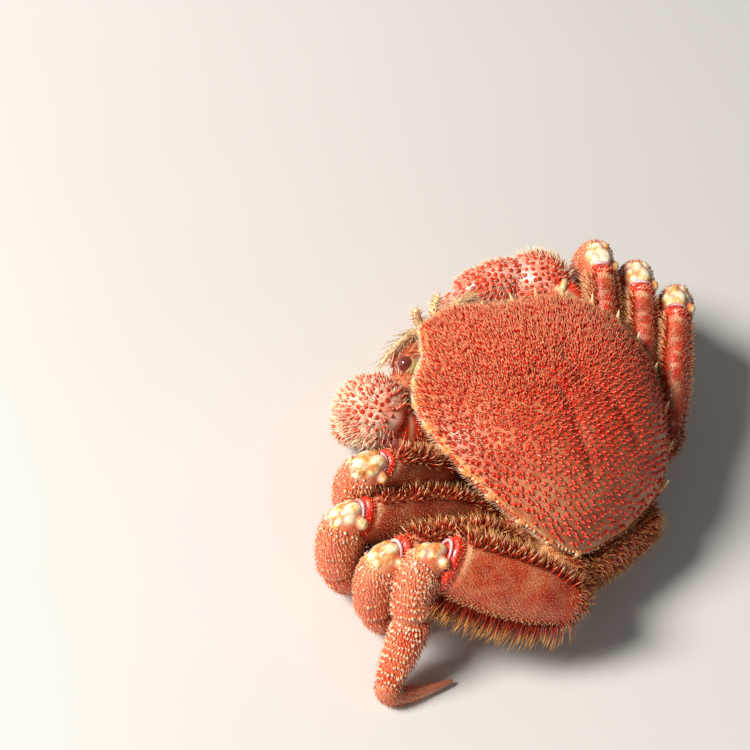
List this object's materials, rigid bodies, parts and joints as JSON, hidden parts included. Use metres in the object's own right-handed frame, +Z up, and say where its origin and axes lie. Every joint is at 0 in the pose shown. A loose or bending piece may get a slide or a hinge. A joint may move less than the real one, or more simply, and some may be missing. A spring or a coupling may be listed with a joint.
{
  "type": "boiled horsehair crab",
  "caption": "Whole boiled horsehair crab resting on its folded legs, with a round spiny carapace, small claws and bristly walking legs.",
  "frame": {"origin": "middle of the bounding box at floor level", "axes": "+Y towards the crab's front, +X towards its right side, +Z up from the floor"},
  "size_m": [0.209, 0.13, 0.0708],
  "materials": {
    "shell": "orange-red boiled shell, satin, spiny",
    "pale_shell": "pale cream-orange shell, satin",
    "eye": "dark red-brown, glossy"
  },
  "bodies": {
    "root": {"carapace": "shell", "thorax": "pale_shell", "abdomen": "pale_shell", "eye_left": "eye", "eyestalk_left": "pale_shell", "antenna_left": "pale_shell", "antennule_left": "pale_shell", "maxilliped_left": "pale_shell", "eye_right": "eye", "eyestalk_right": "pale_shell", "antenna_right": "pale_shell", "antennule_right": "pale_shell", "maxilliped_right": "pale_shell", "cheliped_merus_left": "shell", "cheliped_carpus_left": "shell", "cheliped_palm_left": "shell", "cheliped_finger_left": "shell", "leg5_merus_left": "shell", "leg5_carpus_left": "shell", "leg5_propodus_left": "shell", "leg5_dactyl_left": "shell", "leg4_merus_left": "shell", "leg4_carpus_left": "shell", "leg4_propodus_left": "shell", "leg4_dactyl_left": "shell", "leg3_merus_left": "shell", "leg3_carpus_left": "shell", "leg3_propodus_left": "shell", "leg3_dactyl_left": "shell", "leg2_merus_left": "shell", "leg2_carpus_left": "shell", "leg2_propodus_left": "shell", "leg2_dactyl_left": "shell", "cheliped_merus_right": "shell", "cheliped_carpus_right": "shell", "cheliped_palm_right": "shell", "cheliped_finger_right": "shell", "leg4_merus_right": "shell", "leg4_carpus_right": "shell", "leg4_propodus_right": "shell", "leg4_dactyl_right": "shell", "leg3_merus_right": "shell", "leg3_carpus_right": "shell", "leg3_propodus_right": "shell", "leg3_dactyl_right": "shell", "leg2_merus_right": "shell", "leg2_carpus_right": "shell", "leg2_propodus_right": "shell", "leg2_dactyl_right": "shell", "leg5_merus_right": "shell", "leg5_carpus_right": "shell", "leg5_propodus_right": "shell", "leg5_dactyl_right": "shell"}
  },
  "joints": []
}
